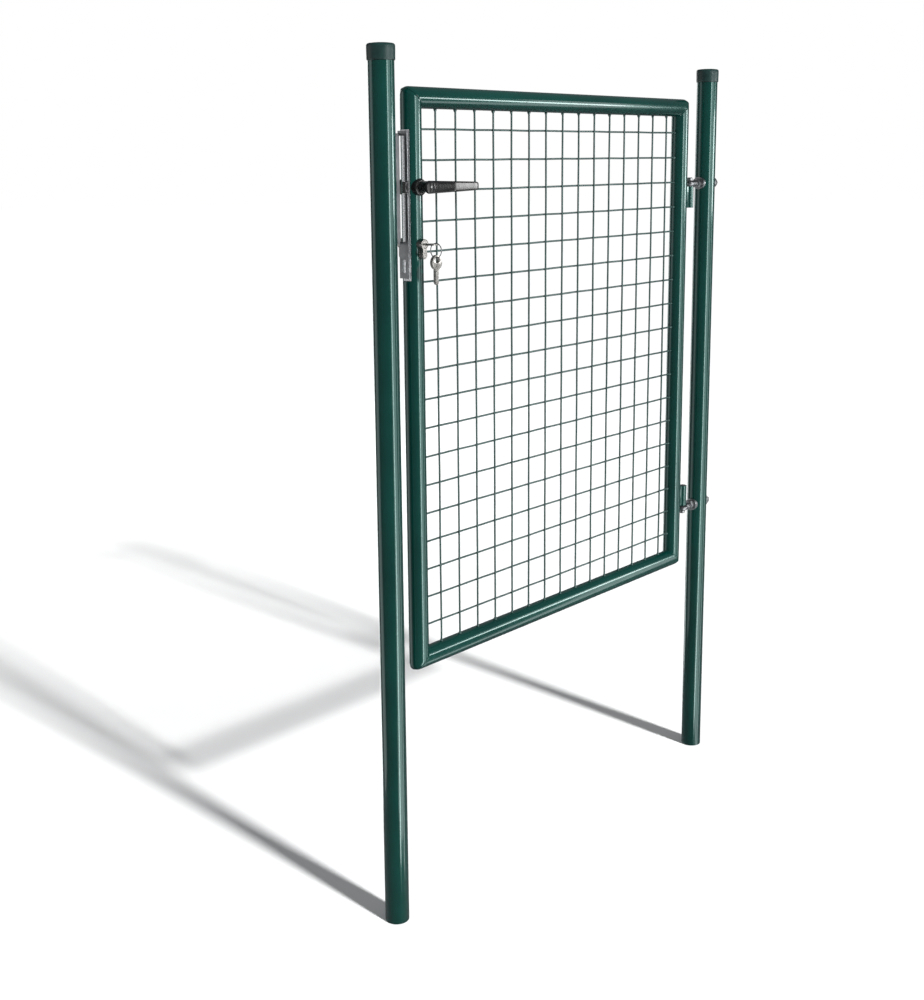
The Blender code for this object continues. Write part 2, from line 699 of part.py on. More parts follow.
def build_follower():
    """The hub that the spindle turns, with a nose that draws the latch back."""
    half = CASE_HALF_WIDTH - GAP
    start, end = (0, -half, LEVER_Z), (0, half, LEVER_Z)
    follower = rod("lock_follower", start, end, FOLLOWER_RADIUS, 24, DARK_STEEL)
    bm = bmesh.new()
    bmesh.ops.create_cube(bm, size=1.0)
    nose_half = LATCH_HALF_WIDTH - GAP
    height = FOLLOWER_NOSE_RADIUS - SPINDLE_SIDE * 0.8
    size = Matrix.Diagonal((2 * FOLLOWER_NOSE_HALF, 2 * nose_half, height, 1.0))
    lean = Matrix.Rotation(-LEVER_TRAVEL / 2, 4, "Y")
    rise = Matrix.Translation((0, 0, FOLLOWER_NOSE_RADIUS - height / 2))
    bm.transform(Matrix.Translation((0, 0, LEVER_Z)) @ lean @ rise @ size)
    weld(follower, add_piece("follower_nose", mesh_from(bm, "follower_nose")))
    side = SPINDLE_SIDE / 2 + GAP
    cut(follower, box("follower_socket", (-side, -0.02, LEVER_Z - side), (side, 0.02, LEVER_Z + side)))
    set_origin(follower, (0, 0, LEVER_Z))


def latch_outline():
    """The latch seen from the side, in X and Z about the spindle: a hollow nose and an arm."""
    top = LATCH_HALF_HEIGHT
    inner = top - LATCH_PLATE
    hollow = LATCH_TIP + LATCH_NOSE
    arm_end = LATCH_TAB_START + 0.0018
    shoulder = LATCH_REAR - 0.0015
    return [
        (LATCH_TIP, -top),
        (LATCH_REAR, -top),
        (LATCH_REAR, -inner),
        (hollow, -inner),
        (hollow, inner),
        (LATCH_REAR, inner),
        (LATCH_REAR, LATCH_ARM_BOTTOM),
        (LATCH_TAB_START, LATCH_ARM_BOTTOM),
        (LATCH_TAB_START, LATCH_TAB_BOTTOM),
        (arm_end, LATCH_TAB_BOTTOM),
        (arm_end, LATCH_ARM_BOTTOM + 0.0015),
        (LATCH_REAR, LATCH_ARM_BOTTOM + 0.0015),
        (LATCH_REAR, LATCH_SHOULDER_TOP),
        (shoulder, LATCH_SHOULDER_TOP),
        (shoulder, top),
        (LATCH_TIP, top),
    ]


def build_latch():
    matrix = Matrix.Translation((0, 0, LEVER_Z)) @ Matrix.Rotation(math.pi / 2, 4, "X")
    latch = outline_solid("latch_bolt", latch_outline(), 2 * LATCH_HALF_WIDTH, matrix, BLACK_PLASTIC)
    ramp_length = 0.0075
    ramp_depth = 2 * LATCH_HALF_WIDTH - 0.002
    ramp = [(0.0, 0.001), (-ramp_length, 0.001), (-ramp_length, -ramp_depth), (0.0, 0.0)]
    place = Matrix.Translation((LATCH_TIP + ramp_length, LATCH_HALF_WIDTH, LEVER_Z))
    tall = 2 * LATCH_HALF_HEIGHT + 0.004
    cut(latch, outline_solid("latch_ramp", ramp, tall, place))
    set_origin(latch, (LATCH_TIP, 0, LEVER_Z))


def build_latch_spring():
    """A compression spring along X between the latch's shoulder and the back of the case."""
    start = LATCH_REAR + GAP + SPRING_WIRE_RADIUS
    end = CASE_BACK - CASE_WALL - GAP - SPRING_WIRE_RADIUS
    count = SPRING_TURNS * SPRING_POINTS_PER_TURN + 1
    curve = bpy.data.curves.new("latch_spring_path", "CURVE")
    curve.dimensions = "3D"
    curve.bevel_depth = SPRING_WIRE_RADIUS
    curve.bevel_resolution = 0
    curve.use_fill_caps = True
    spline = curve.splines.new("POLY")
    spline.points.add(count - 1)
    for i, point in enumerate(spline.points):
        angle = 2 * math.pi * i / SPRING_POINTS_PER_TURN
        x = start + (end - start) * i / (count - 1)
        y = SPRING_COIL_RADIUS * math.cos(angle)
        z = LEVER_Z + SPRING_HEIGHT + SPRING_COIL_RADIUS * math.sin(angle)
        point.co = (x, y, z, 1.0)
    guide = bpy.data.objects.new("latch_spring_guide", curve)
    CUTTERS.objects.link(guide)
    add_piece("latch_spring", closed_mesh_of(guide, "latch_spring"), ZINC)


def build_deadbolt():
    low = (FOREND_FACE + GAP, -BOLT_HALF_WIDTH, BOLT_BOTTOM)
    high = (BOLT_REAR, BOLT_HALF_WIDTH, BOLT_TOP)
    set_origin(box("deadbolt", low, high, ZINC), (FOREND_FACE, 0, (BOLT_BOTTOM + BOLT_TOP) / 2))


# Cylinder and keys


def build_cylinder():
    """A double profile cylinder: its body, a plug in each end and the cam between them."""
    body = pear_solid("cylinder_body", 0.0, CYLINDER_HALF_LENGTH, NICKEL)
    cut(body, across_y(0, CYLINDER_Z, PLUG_RADIUS + GAP, 0.04, "cylinder_bore", 28))
    slot_low = (-0.02, -CAM_SLOT_HALF, CYLINDER_Z - CAM_RADIUS - 0.0008)
    slot_high = (0.02, CAM_SLOT_HALF, CYLINDER_Z + 0.02)
    cut(body, box("cylinder_cam_slot", slot_low, slot_high))
    z = CYLINDER_Z - CYLINDER_SCREW_DROP
    cut(body, rod("cylinder_screw_hole", (-0.02, 0, z), (0.02, 0, z), CYLINDER_SCREW_RADIUS + GAP))
    inner = CAM_HALF_WIDTH + GAP
    for name, start, end in (
        ("front_plug", -CYLINDER_HALF_LENGTH, -inner),
        ("back_plug", inner, CYLINDER_HALF_LENGTH),
    ):
        plug = rod(name, (0, start, CYLINDER_Z), (0, end, CYLINDER_Z), PLUG_RADIUS, 24, NICKEL)
        keyway = keyway_cutter(name, name == "front_plug")
        cut(plug, keyway)
        set_origin(plug, (0, 0, CYLINDER_Z))
    start, end = (0, -CAM_HALF_WIDTH, CYLINDER_Z), (0, CAM_HALF_WIDTH, CYLINDER_Z)
    cam = rod("cylinder_cam", start, end, PLUG_RADIUS + 0.0012, 24, DARK_STEEL)
    tab_low = (-0.0022, -CAM_HALF_WIDTH, CYLINDER_Z - CAM_RADIUS)
    tab_high = (0.0022, CAM_HALF_WIDTH, CYLINDER_Z)
    weld(cam, box("cam_tab", tab_low, tab_high))
    set_origin(cam, (0, 0, CYLINDER_Z))


def keyway_cutter(name, turned_flat):
    """The keyway: flat where the plug stands a quarter turn round, otherwise upright."""
    wide = KEY_BLADE_HALF + GAP
    thin = KEY_THICKNESS / 2 + GAP
    half_x, half_z = (wide, thin) if turned_flat else (thin, wide)
    low = (-half_x, -0.04, CYLINDER_Z - half_z)
    high = (half_x, 0.04, CYLINDER_Z + half_z)
    return box(name + "_keyway", low, high)


def key_outline():
    """A key in local XY: the bow round the origin and the blade along +Y."""
    opening = math.asin(KEY_BLADE_HALF / KEY_BOW_RADIUS)
    bow = circle((0.0, 0.0), KEY_BOW_RADIUS, math.pi / 2 + opening, 2.5 * math.pi - opening, 25)
    end = KEY_BOW_RADIUS + KEY_BLADE_LENGTH - 0.0035
    tip = KEY_BOW_RADIUS + KEY_BLADE_LENGTH
    return bow + [(KEY_BLADE_HALF, end), (0.001, tip), (-0.001, tip), (-KEY_BLADE_HALF, end)]


def build_key(name, matrix):
    """A key placed by a matrix that takes its bow's centre from the origin."""
    key = outline_solid(name, key_outline(), KEY_THICKNESS, matrix, NICKEL)
    hole = rod(name + "_hole", (0, 0, -0.01), (0, 0, 0.01), KEY_HOLE_RADIUS)
    hole.data.transform(matrix @ Matrix.Translation((0, -KEY_HOLE_OFFSET, 0)))
    cut(key, hole)
    return key


def build_keys():
    inserted = build_key("inserted_key", Matrix.Translation((0, KEY_BOW_Y, CYLINDER_Z)))
    set_origin(inserted, (0, 0, CYLINDER_Z))
    bm = bmesh.new()
    mesh = mesh_from(bm, "key_ring")
    ring = add_piece("key_ring", mesh, ZINC)
    fill_ring(ring)
    set_origin(ring, (0, KEY_END_STRIP_Y, CYLINDER_Z + KEY_THICKNESS / 2))
    hang_z = RING_FOOT_Z + RING_WIRE_RADIUS + SPARE_KEY_SLACK - KEY_HOLE_RADIUS - KEY_HOLE_OFFSET
    hang = Matrix.Rotation(-math.pi / 2, 4, "X")
    for number, side in (("one", -1), ("two", 1)):
        y = KEY_END_STRIP_Y + side * SPARE_KEY_SPACING
        key = build_key(f"spare_key_{number}", Matrix.Translation((0, y, hang_z)) @ hang)
        set_origin(key, (0, y, RING_FOOT_Z))


def fill_ring(ring):
    """A round wire ring in the plane X = 0, hanging over the end of the inserted key's bow."""
    curve = bpy.data.curves.new("key_ring_path", "CURVE")
    curve.dimensions = "3D"
    curve.bevel_depth = RING_WIRE_RADIUS
    curve.bevel_resolution = 1
    spline = curve.splines.new("POLY")
    count = 24
    spline.points.add(count - 1)
    for i, point in enumerate(spline.points):
        angle = 2 * math.pi * i / count
        y = KEY_END_STRIP_Y + RING_RADIUS * math.sin(angle)
        z = RING_CENTRE_Z + RING_RADIUS * math.cos(angle)
        point.co = (0.0, y, z, 1.0)
    spline.use_cyclic_u = True
    guide = bpy.data.objects.new("key_ring_guide", curve)
    CUTTERS.objects.link(guide)
    ring.data = closed_mesh_of(guide, "key_ring")
    finish(ring, ZINC)


# Strike


def build_strike():
    """A folded plate facing the forend: a long window, a solid foot and a flange to the post."""
    half = STRIKE_THICKNESS / 2
    low = (STRIKE_X - half, -STRIKE_HALF_WIDTH, STRIKE_BOTTOM)
    high = (STRIKE_X + half, STRIKE_HALF_WIDTH, STRIKE_TOP)
    strike = box("strike_plate", low, high, ZINC)
    window_bottom = STRIKE_BOTTOM + STRIKE_BLOCK
    window_top = STRIKE_TOP - STRIKE_TOP_BAR
    near = -STRIKE_HALF_WIDTH + STRIKE_NEAR_BAR
    window_low = (STRIKE_X - 0.01, near, window_bottom)
    window_high = (STRIKE_X + 0.01, STRIKE_HALF_WIDTH + 0.01, window_top)
    cut(strike, box("strike_window", window_low, window_high))
    flange_low = (LOCK_POST_X + POST_RADIUS * 0.8, STRIKE_HALF_WIDTH - STRIKE_THICKNESS, window_bottom - 0.004)
    flange_high = (STRIKE_X + half, STRIKE_HALF_WIDTH, window_top + 0.004)
    weld(strike, box("strike_flange", flange_low, flange_high))
    post_low = (LOCK_POST_X, 0, STRIKE_BOTTOM - 0.01)
    post_high = (LOCK_POST_X, 0, STRIKE_TOP + 0.01)
    cut(strike, rod("strike_post_seat", post_low, post_high, POST_RADIUS + GAP, TUBE_SIDES))
    passage = LATCH_HALF_HEIGHT + LATCH_PASSAGE
    mouth_low = (STRIKE_X - 0.01, -STRIKE_HALF_WIDTH - 0.01, LEVER_Z - passage)
    mouth_high = (STRIKE_X + 0.01, 0.0, LEVER_Z + passage)
    cut(strike, box("strike_latch_mouth", mouth_low, mouth_high))
    slot = BOLT_HALF_WIDTH + 0.001
    slot_low = (STRIKE_X - 0.01, -slot, BOLT_BOTTOM - 0.001)
    slot_high = (STRIKE_X + 0.01, slot, BOLT_TOP + 0.001)
    cut(strike, box("strike_bolt_slot", slot_low, slot_high))


clear_scene()
PARTS = new_collection("garden_gate")
CUTTERS = new_collection("cutters")
FRAME = bpy.data.objects.new("gate_frame", None)
PARTS.objects.link(FRAME)
FRAME.location = FRAME_SHIFT

build_posts()
build_strike()
lock_stile = build_leaf_frame()
cut_lock_stile(lock_stile)
build_wire_mesh()
build_hinges()
build_lock_case()
build_forend()
build_rose("front", -1)
build_rose("back", 1)
build_lever("front", -1)
build_lever("back", 1)
build_spindle()
build_follower()
build_latch()
build_latch_spring()
build_deadbolt()
build_cylinder()
build_keys()
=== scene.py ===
"""Looks for the garden gate: detailed pieces, materials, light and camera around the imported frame."""

import json
import math

import bmesh
import bpy
from mathutils import Matrix, Vector


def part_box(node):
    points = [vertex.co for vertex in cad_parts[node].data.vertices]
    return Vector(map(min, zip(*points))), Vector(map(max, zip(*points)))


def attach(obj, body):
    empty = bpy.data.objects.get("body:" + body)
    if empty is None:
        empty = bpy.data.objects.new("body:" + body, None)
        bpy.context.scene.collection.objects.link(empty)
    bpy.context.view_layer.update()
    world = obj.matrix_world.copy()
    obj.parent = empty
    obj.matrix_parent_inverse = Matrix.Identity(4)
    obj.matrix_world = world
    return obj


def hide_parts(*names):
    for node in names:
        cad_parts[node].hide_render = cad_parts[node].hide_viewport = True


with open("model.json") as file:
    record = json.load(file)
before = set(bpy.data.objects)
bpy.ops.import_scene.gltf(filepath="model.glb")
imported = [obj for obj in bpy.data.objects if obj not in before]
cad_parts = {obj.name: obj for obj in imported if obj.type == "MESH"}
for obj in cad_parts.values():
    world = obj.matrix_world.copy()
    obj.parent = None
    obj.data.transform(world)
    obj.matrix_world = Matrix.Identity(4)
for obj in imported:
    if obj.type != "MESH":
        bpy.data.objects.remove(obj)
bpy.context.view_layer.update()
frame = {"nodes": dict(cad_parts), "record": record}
NODES = frame["nodes"]


# Places, read from the frame


def middle(node):
    low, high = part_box(node)
    return (low + high) / 2


LEAF_Y = middle("lock_stile").y
TUBE = (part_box("hinge_stile")[1].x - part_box("hinge_stile")[0].x) / 2
LOCK_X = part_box("lock_stile")[1].x - TUBE
HINGE_X = middle("hinge_stile").x
TOP_Z = middle("top_rail").z
BOTTOM_Z = middle("bottom_rail").z
LEVER_Z = middle("front_lever").z
CYLINDER_Z = middle("front_plug").z
PIN_X = middle("upper_hinge_pin").x


# Sizes in metres; TUBE above and the names ending in RADIUS are radii

WALL = 0.002
FRAME_SIDES = 72
CORNER_FILLET = 0.011
CORNER_STEPS = 8
BOLT_HOLE_RADIUS = 0.0061

MESH_PITCH = 0.050
MESH_COLUMNS = 15
MESH_ROWS = 18
FIRST_COLUMN = 0.0575
FIRST_ROW = 0.0565
WIRE_RADIUS = 0.00175
WIRE_SIDES = 10
LAYER = 0.00155
SWAY = 0.00025

THREAD_PITCH = 0.00175
PLAIN_RADIUS = 0.0056
CREST_RADIUS = 0.0058
ROOT_RADIUS = 0.0050

GRIP_START = 0.058
GRIP_RISE = 0.0027
KEY_BOW_RADIUS = 0.012
KEY_THICKNESS = 0.0022
COIL_RADIUS = 0.00052
COIL_OFFSET = 0.00047


# Materials


def new_material(name, metallic=0.0):
    material = bpy.data.materials.new(name)
    material.use_nodes = True
    nodes = material.node_tree.nodes
    shader = nodes["Principled BSDF"]
    shader.inputs["Metallic"].default_value = metallic
    return material, nodes, material.node_tree.links, shader


def place(nodes, links, stretch=(1.0, 1.0, 1.0)):
    """The piece's own coordinates, stretched for streaks."""
    coordinates = nodes.new("ShaderNodeTexCoord")
    mapping = nodes.new("ShaderNodeMapping")
    mapping.inputs["Scale"].default_value = stretch
    links.new(coordinates.outputs["Object"], mapping.inputs["Vector"])
    return mapping.outputs["Vector"]


def noise(nodes, links, vector, scale, detail=4.0, roughness=0.55):
    texture = nodes.new("ShaderNodeTexNoise")
    texture.inputs["Scale"].default_value = scale
    texture.inputs["Detail"].default_value = detail
    texture.inputs["Roughness"].default_value = roughness
    links.new(vector, texture.inputs["Vector"])
    return texture.outputs["Fac"]


def ramp(nodes, links, fac, stops):
    node = nodes.new("ShaderNodeValToRGB")
    node.color_ramp.elements[0].position = stops[0][0]
    node.color_ramp.elements[0].color = (*stops[0][1], 1.0)
    node.color_ramp.elements[1].position = stops[-1][0]
    node.color_ramp.elements[1].color = (*stops[-1][1], 1.0)
    for position, colour in stops[1:-1]:
        element = node.color_ramp.elements.new(position)
        element.color = (*colour, 1.0)
    links.new(fac, node.inputs["Fac"])
    return node.outputs["Color"]


def spread(nodes, links, fac, low, high, start=0.3, end=0.7):
    node = nodes.new("ShaderNodeMapRange")
    node.inputs["From Min"].default_value = start
    node.inputs["From Max"].default_value = end
    node.inputs["To Min"].default_value = low
    node.inputs["To Max"].default_value = high
    links.new(fac, node.inputs["Value"])
    return node.outputs["Result"]


def mix_colour(nodes, links, fac, first, second):
    node = nodes.new("ShaderNodeMix")
    node.data_type = "RGBA"
    links.new(fac, node.inputs["Factor"])
    for socket, value in ((node.inputs["A"], first), (node.inputs["B"], second)):
        if isinstance(value, tuple):
            socket.default_value = (*value, 1.0)
        else:
            links.new(value, socket)
    return node.outputs["Result"]


def bump(nodes, links, shader, height, strength, distance):
    node = nodes.new("ShaderNodeBump")
    node.inputs["Strength"].default_value = strength
    node.inputs["Distance"].default_value = distance
    links.new(height, node.inputs["Height"])
    links.new(node.outputs["Normal"], shader.inputs["Normal"])


def powder_coat(name, colour, light, low, high, coat):
    """Sprayed paint: fine orange peel, slow drifts of shade, and a few dusty scuffs."""
    material, nodes, links, shader = new_material(name)
    vector = place(nodes, links)
    drift = noise(nodes, links, vector, scale=5.0, detail=3.0)
    base = ramp(nodes, links, drift, [(0.30, colour), (0.72, light)])
    streaks = place(nodes, links, (1.0, 1.0, 0.25))
    scuff = noise(nodes, links, streaks, scale=85.0, detail=8.0, roughness=0.7)
    marks = spread(nodes, links, scuff, 0.0, 0.30, start=0.66, end=0.80)
    dusty = tuple(min(1.0, c * 1.6 + 0.02) for c in light)
    links.new(mix_colour(nodes, links, marks, base, dusty), shader.inputs["Base Color"])
    gloss = noise(nodes, links, vector, scale=38.0, detail=5.0)
    links.new(spread(nodes, links, gloss, low, high), shader.inputs["Roughness"])
    shader.inputs["Coat Weight"].default_value = coat
    shader.inputs["Coat Roughness"].default_value = 0.06
    shader.inputs["Coat Tint"].default_value = (0.80, 1.0, 0.97, 1.0)
    shader.inputs["Specular Tint"].default_value = (0.62, 1.0, 0.94, 1.0)
    peel = noise(nodes, links, vector, scale=900.0, detail=2.0)
    bump(nodes, links, shader, peel, strength=0.10, distance=0.0002)
    return material


def plated_steel(name, colour, dark, low, high, grain=320.0, metallic=1.0):
    """Zinc: small crystals that catch the light apart from each other, and dull patches."""
    material, nodes, links, shader = new_material(name, metallic)
    vector = place(nodes, links)
    crystals = nodes.new("ShaderNodeTexVoronoi")
    crystals.inputs["Scale"].default_value = grain
    links.new(vector, crystals.inputs["Vector"])
    value = nodes.new("ShaderNodeRGBToBW")
    links.new(crystals.outputs["Color"], value.inputs["Color"])
    patches = noise(nodes, links, vector, scale=60.0, detail=6.0, roughness=0.65)
    base = ramp(nodes, links, patches, [(0.32, dark), (0.62, colour)])
    shade = tuple(c * 0.78 for c in colour)
    shift = spread(nodes, links, value.outputs["Val"], 0.0, 0.35, start=0.1, end=0.9)
    links.new(mix_colour(nodes, links, shift, base, shade), shader.inputs["Base Color"])
    dull = spread(nodes, links, value.outputs["Val"], low, high, start=0.1, end=0.9)
    links.new(dull, shader.inputs["Roughness"])
    fine = noise(nodes, links, place(nodes, links, (1.0, 1.0, 0.2)), scale=1400.0, detail=3.0)
    bump(nodes, links, shader, fine, strength=0.16, distance=0.0001)
    return material


def moulded(name, colour, light, low, high, grain, strength):
    """Moulded plastic: a fine texture, faint flow marks and rubbed places."""
    material, nodes, links, shader = new_material(name)
    vector = place(nodes, links)
    streaks = place(nodes, links, (1.0, 3.0, 3.0))
    flow = noise(nodes, links, streaks, scale=22.0, detail=5.0, roughness=0.6)
    links.new(ramp(nodes, links, flow, [(0.32, colour), (0.70, light)]), shader.inputs["Base Color"])
    rub = noise(nodes, links, vector, scale=90.0, detail=6.0, roughness=0.65)
    links.new(spread(nodes, links, rub, low, high), shader.inputs["Roughness"])
    texture = noise(nodes, links, vector, scale=grain, detail=2.0)
    bump(nodes, links, shader, texture, strength, distance=0.0002)
    return material


LOOKS = {
    "green_paint": powder_coat(
        "green_powder_coat", colour=(0.0011, 0.0185, 0.0155), light=(0.0020, 0.0300, 0.0245),
        low=0.13, high=0.23, coat=0.6,
    ),
    "painted_wire": powder_coat(
        "wire_coating", colour=(0.020, 0.034, 0.032), light=(0.034, 0.052, 0.049),
        low=0.22, high=0.36, coat=0.3,
    ),
    "cap_plastic": moulded(
        "cap_plastic", colour=(0.0040, 0.0180, 0.0165), light=(0.0080, 0.0290, 0.0265),
        low=0.34, high=0.48, grain=700.0, strength=0.22,
    ),
    "black_plastic": moulded(
        "lever_plastic", colour=(0.0040, 0.0042, 0.0044), light=(0.0085, 0.0085, 0.0090),
        low=0.13, high=0.22, grain=1100.0, strength=0.04,
    ),
    "zinc": plated_steel(
        "galvanised", colour=(0.34, 0.35, 0.36), dark=(0.23, 0.235, 0.245), low=0.34, high=0.46,
    ),
    "bright_zinc": plated_steel(
        "bright_zinc", colour=(0.80, 0.81, 0.83), dark=(0.66, 0.67, 0.69), low=0.20, high=0.32,
        grain=500.0, metallic=0.6,
    ),
    "dark_steel": plated_steel(
        "dull_steel", colour=(0.27, 0.27, 0.28), dark=(0.16, 0.16, 0.17), low=0.36, high=0.52,
        grain=420.0,
    ),
    "nickel": plated_steel(
        "nickel_plate", colour=(0.40, 0.39, 0.37), dark=(0.25, 0.24, 0.23), low=0.20, high=0.34,
        grain=620.0,
    ),
}
SLOT_OF = {entry["node"]: entry["material_slot"] for entry in frame["record"]["subparts"]}
BODY_OF = {
    node: body
    for body, members in frame["record"]["behaviour"]["bodies"].items()
    for node in members
}


# Building blocks

SAME_PLACE = 2e-6
SAME_PLANE = math.radians(0.6)


def finish_piece(name, mesh, node_names, bevel=0.0, segments=2, angle=35.0):
    """A visible piece that stands for the CAD nodes named, and moves with their body."""
    obj = bpy.data.objects.new(name, mesh)
    bpy.context.scene.collection.objects.link(obj)
    slot = SLOT_OF[node_names[0]]
    mesh.materials.clear()
    mesh.materials.append(LOOKS[slot])
    mesh.shade_smooth()
    mesh.set_sharp_from_angle(angle=math.radians(angle))
    if bevel:
        modifier = obj.modifiers.new("edges", "BEVEL")
        modifier.width = bevel
        modifier.segments = segments
        modifier.limit_method = "ANGLE"
        modifier.angle_limit = math.radians(angle)
        modifier.harden_normals = True
    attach(obj, BODY_OF[node_names[0]])
    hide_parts(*node_names)


def mesh_from(bm, name):
    bmesh.ops.recalc_face_normals(bm, faces=bm.faces)
    mesh = bpy.data.meshes.new(name)
    bm.to_mesh(mesh)
    bm.free()
    return mesh


def refined(node, bevel=0.0004, segments=2, angle=35.0):
    """The CAD shape again, with its flat faces whole and its edges softened."""
    bm = bmesh.new()
    bm.from_mesh(NODES[node].data)
    bmesh.ops.remove_doubles(bm, verts=bm.verts, dist=SAME_PLACE)
    bmesh.ops.dissolve_limit(bm, angle_limit=SAME_PLANE, verts=bm.verts, edges=bm.edges)
    finish_piece(node + "_shape", mesh_from(bm, node), [node], bevel, segments, angle)


def loft(bm, rings, closed=False):
    """Faces between rings of points; a closed loft joins its last ring to its first, others are capped."""
    made = [[bm.verts.new(point) for point in ring] for ring in rings]
    pairs = list(zip(made, made[1:]))
    if closed:
        pairs.append((made[-1], made[0]))
    for first, second in pairs:
        count = len(first)
        for i in range(count):
            j = (i + 1) % count
            bm.faces.new((first[i], first[j], second[j], second[i]))
    if not closed:
        bm.faces.new(made[0][::-1])
        bm.faces.new(made[-1])


def turned_points(profile, origin, axis, sides):
    """Rings of a turned form, one for each (radius, height) point of its profile."""
    turn = Vector(axis).to_track_quat("Z", "Y").to_matrix().to_4x4()
    matrix = Matrix.Translation(Vector(origin)) @ turn
    rings = []
    for radius, height in profile:
        ring = []
        for i in range(sides):
            angle = 2 * math.pi * i / sides
            ring.append(matrix @ Vector((radius * math.cos(angle), radius * math.sin(angle), height)))
        rings.append(ring)
    return rings


def lathe(bm, profile, origin, axis, sides):
    """A turned form, flat at its first and last points."""
    loft(bm, turned_points(profile, origin, axis, sides))


def profile_loop(bm, profile, origin, axis, sides):
    """A turned form whose profile is itself a closed loop, such as a tube's wall."""
    rings = turned_points(profile, origin, axis, sides)
    loft(bm, [list(ring) for ring in zip(*rings)], closed=True)


def sweep(bm, path, radius, sides, closed=False):
    """A round tube along points, with the radius given or found point by point."""
    count = len(path)
    rings = []
    side = None
    for i, point in enumerate(path):
        before = path[i - 1] if i or closed else point
        after = path[(i + 1) % count] if i < count - 1 or closed else point
        along = (after - before).normalized()
        if side is None:
            side = along.orthogonal().normalized()
        side = (side - along * side.dot(along)).normalized()
        other = along.cross(side)
        size = radius(i) if callable(radius) else radius
        ring = []
        for k in range(sides):
            angle = 2 * math.pi * k / sides
            ring.append(point + size * (math.cos(angle) * side + math.sin(angle) * other))
        rings.append(ring)
    loft(bm, rings, closed)


def arc(centre, radius, start, end, count):
    """Points along an arc, its ends included."""
    step = (end - start) / (count - 1)
    points = []
    for i in range(count):
        angle = start + i * step
        points.append((centre[0] + radius * math.cos(angle), centre[1] + radius * math.sin(angle)))
    return points


def flat_shape(name, outlines, thickness, matrix, edge):
    """A plate from closed outlines, with rounded edges; the outlines after the first are holes."""
    curve = bpy.data.curves.new(name + "_outline", "CURVE")
    curve.dimensions = "2D"
    curve.fill_mode = "BOTH"
    curve.extrude = thickness / 2 - edge
    curve.bevel_depth = edge
    curve.bevel_resolution = 2
    curve.offset = -edge
    for outline in outlines:
        spline = curve.splines.new("POLY")
        spline.points.add(len(outline) - 1)
        for point, (x, y) in zip(spline.points, outline):
            point.co = (x, y, 0.0, 1.0)
        spline.use_cyclic_u = True
    guide = bpy.data.objects.new(name + "_guide", curve)
    bpy.context.scene.collection.objects.link(guide)
    mesh = evaluated_mesh(guide, name)
    mesh.transform(matrix)
    return mesh


def evaluated_mesh(guide, name):
    """The mesh of a guide object with its curve or modifiers worked out; the guide goes."""
    bpy.context.view_layer.update()
    evaluated = guide.evaluated_get(bpy.context.evaluated_depsgraph_get())
    mesh = bpy.data.meshes.new_from_object(evaluated)
    mesh.name = name
    bm = bmesh.new()
    bm.from_mesh(mesh)
    bmesh.ops.remove_doubles(bm, verts=bm.verts, dist=SAME_PLACE)
    bmesh.ops.recalc_face_normals(bm, faces=bm.faces)
    bm.to_mesh(mesh)
    bm.free()
    bpy.data.objects.remove(guide, do_unlink=True)
    return mesh


def solid(bm, name):
    """A loose object, for a Boolean or to ride along."""
    obj = bpy.data.objects.new(name, mesh_from(bm, name))
    bpy.context.scene.collection.objects.link(obj)
    return obj


def combined(base, steps, name):
    """The mesh of a base solid after a list of (operation, solid) steps; all the solids go."""
    for operation, other in steps:
        modifier = base.modifiers.new(other.name, "BOOLEAN")
        modifier.operation = operation
        modifier.solver = "EXACT"
        modifier.object = other
    mesh = evaluated_mesh(base, name)
    for _, other in steps:
        bpy.data.objects.remove(other, do_unlink=True)
    return mesh


def block(low, high, name="block"):
    """A box between two corners."""
    bm = bmesh.new()
    low = Vector(low)
    high = Vector(high)
    size = Matrix.Diagonal((*(high - low), 1.0))
    bmesh.ops.create_cube(bm, size=1.0, matrix=Matrix.Translation((low + high) / 2) @ size)
    return solid(bm, name)


def bar(start, end, radius, sides=32):
    """A round bar between two points."""
    start = Vector(start)
    end = Vector(end)
    bm = bmesh.new()
    lathe(bm, [(radius, 0.0), (radius, (end - start).length)], start, end - start, sides)
    return solid(bm, "bar")


# Posts and caps


def build_post(side):
    """A tube open at its foot, with the hinge bolts' holes in the hinge post."""
    node = side + "_post"
    low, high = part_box(node)
    centre = middle(node)
    outer = (high.x - low.x) / 2
    inner = outer - WALL
    height = high.z - low.z
    top = height - 0.001
    profile = [
        (inner, 0.0), (outer - 0.0005, 0.0), (outer, 0.0006),
        (outer, height * 0.5), (outer, top), (inner, top),
    ]
    bm = bmesh.new()
    profile_loop(bm, profile, (centre.x, centre.y, low.z), (0, 0, 1), 96)
    post = solid(bm, node)
    steps = []
    if side == "hinge":
        for level in ("upper", "lower"):
            z = middle(level + "_eyebolt").z
            hole = bar((low.x - 0.01, LEAF_Y, z), (high.x + 0.01, LEAF_Y, z), BOLT_HOLE_RADIUS)
            steps.append(("DIFFERENCE", hole))
    finish_piece(node + "_tube", combined(post, steps, node), [node], angle=40.0)
    build_cap(side)


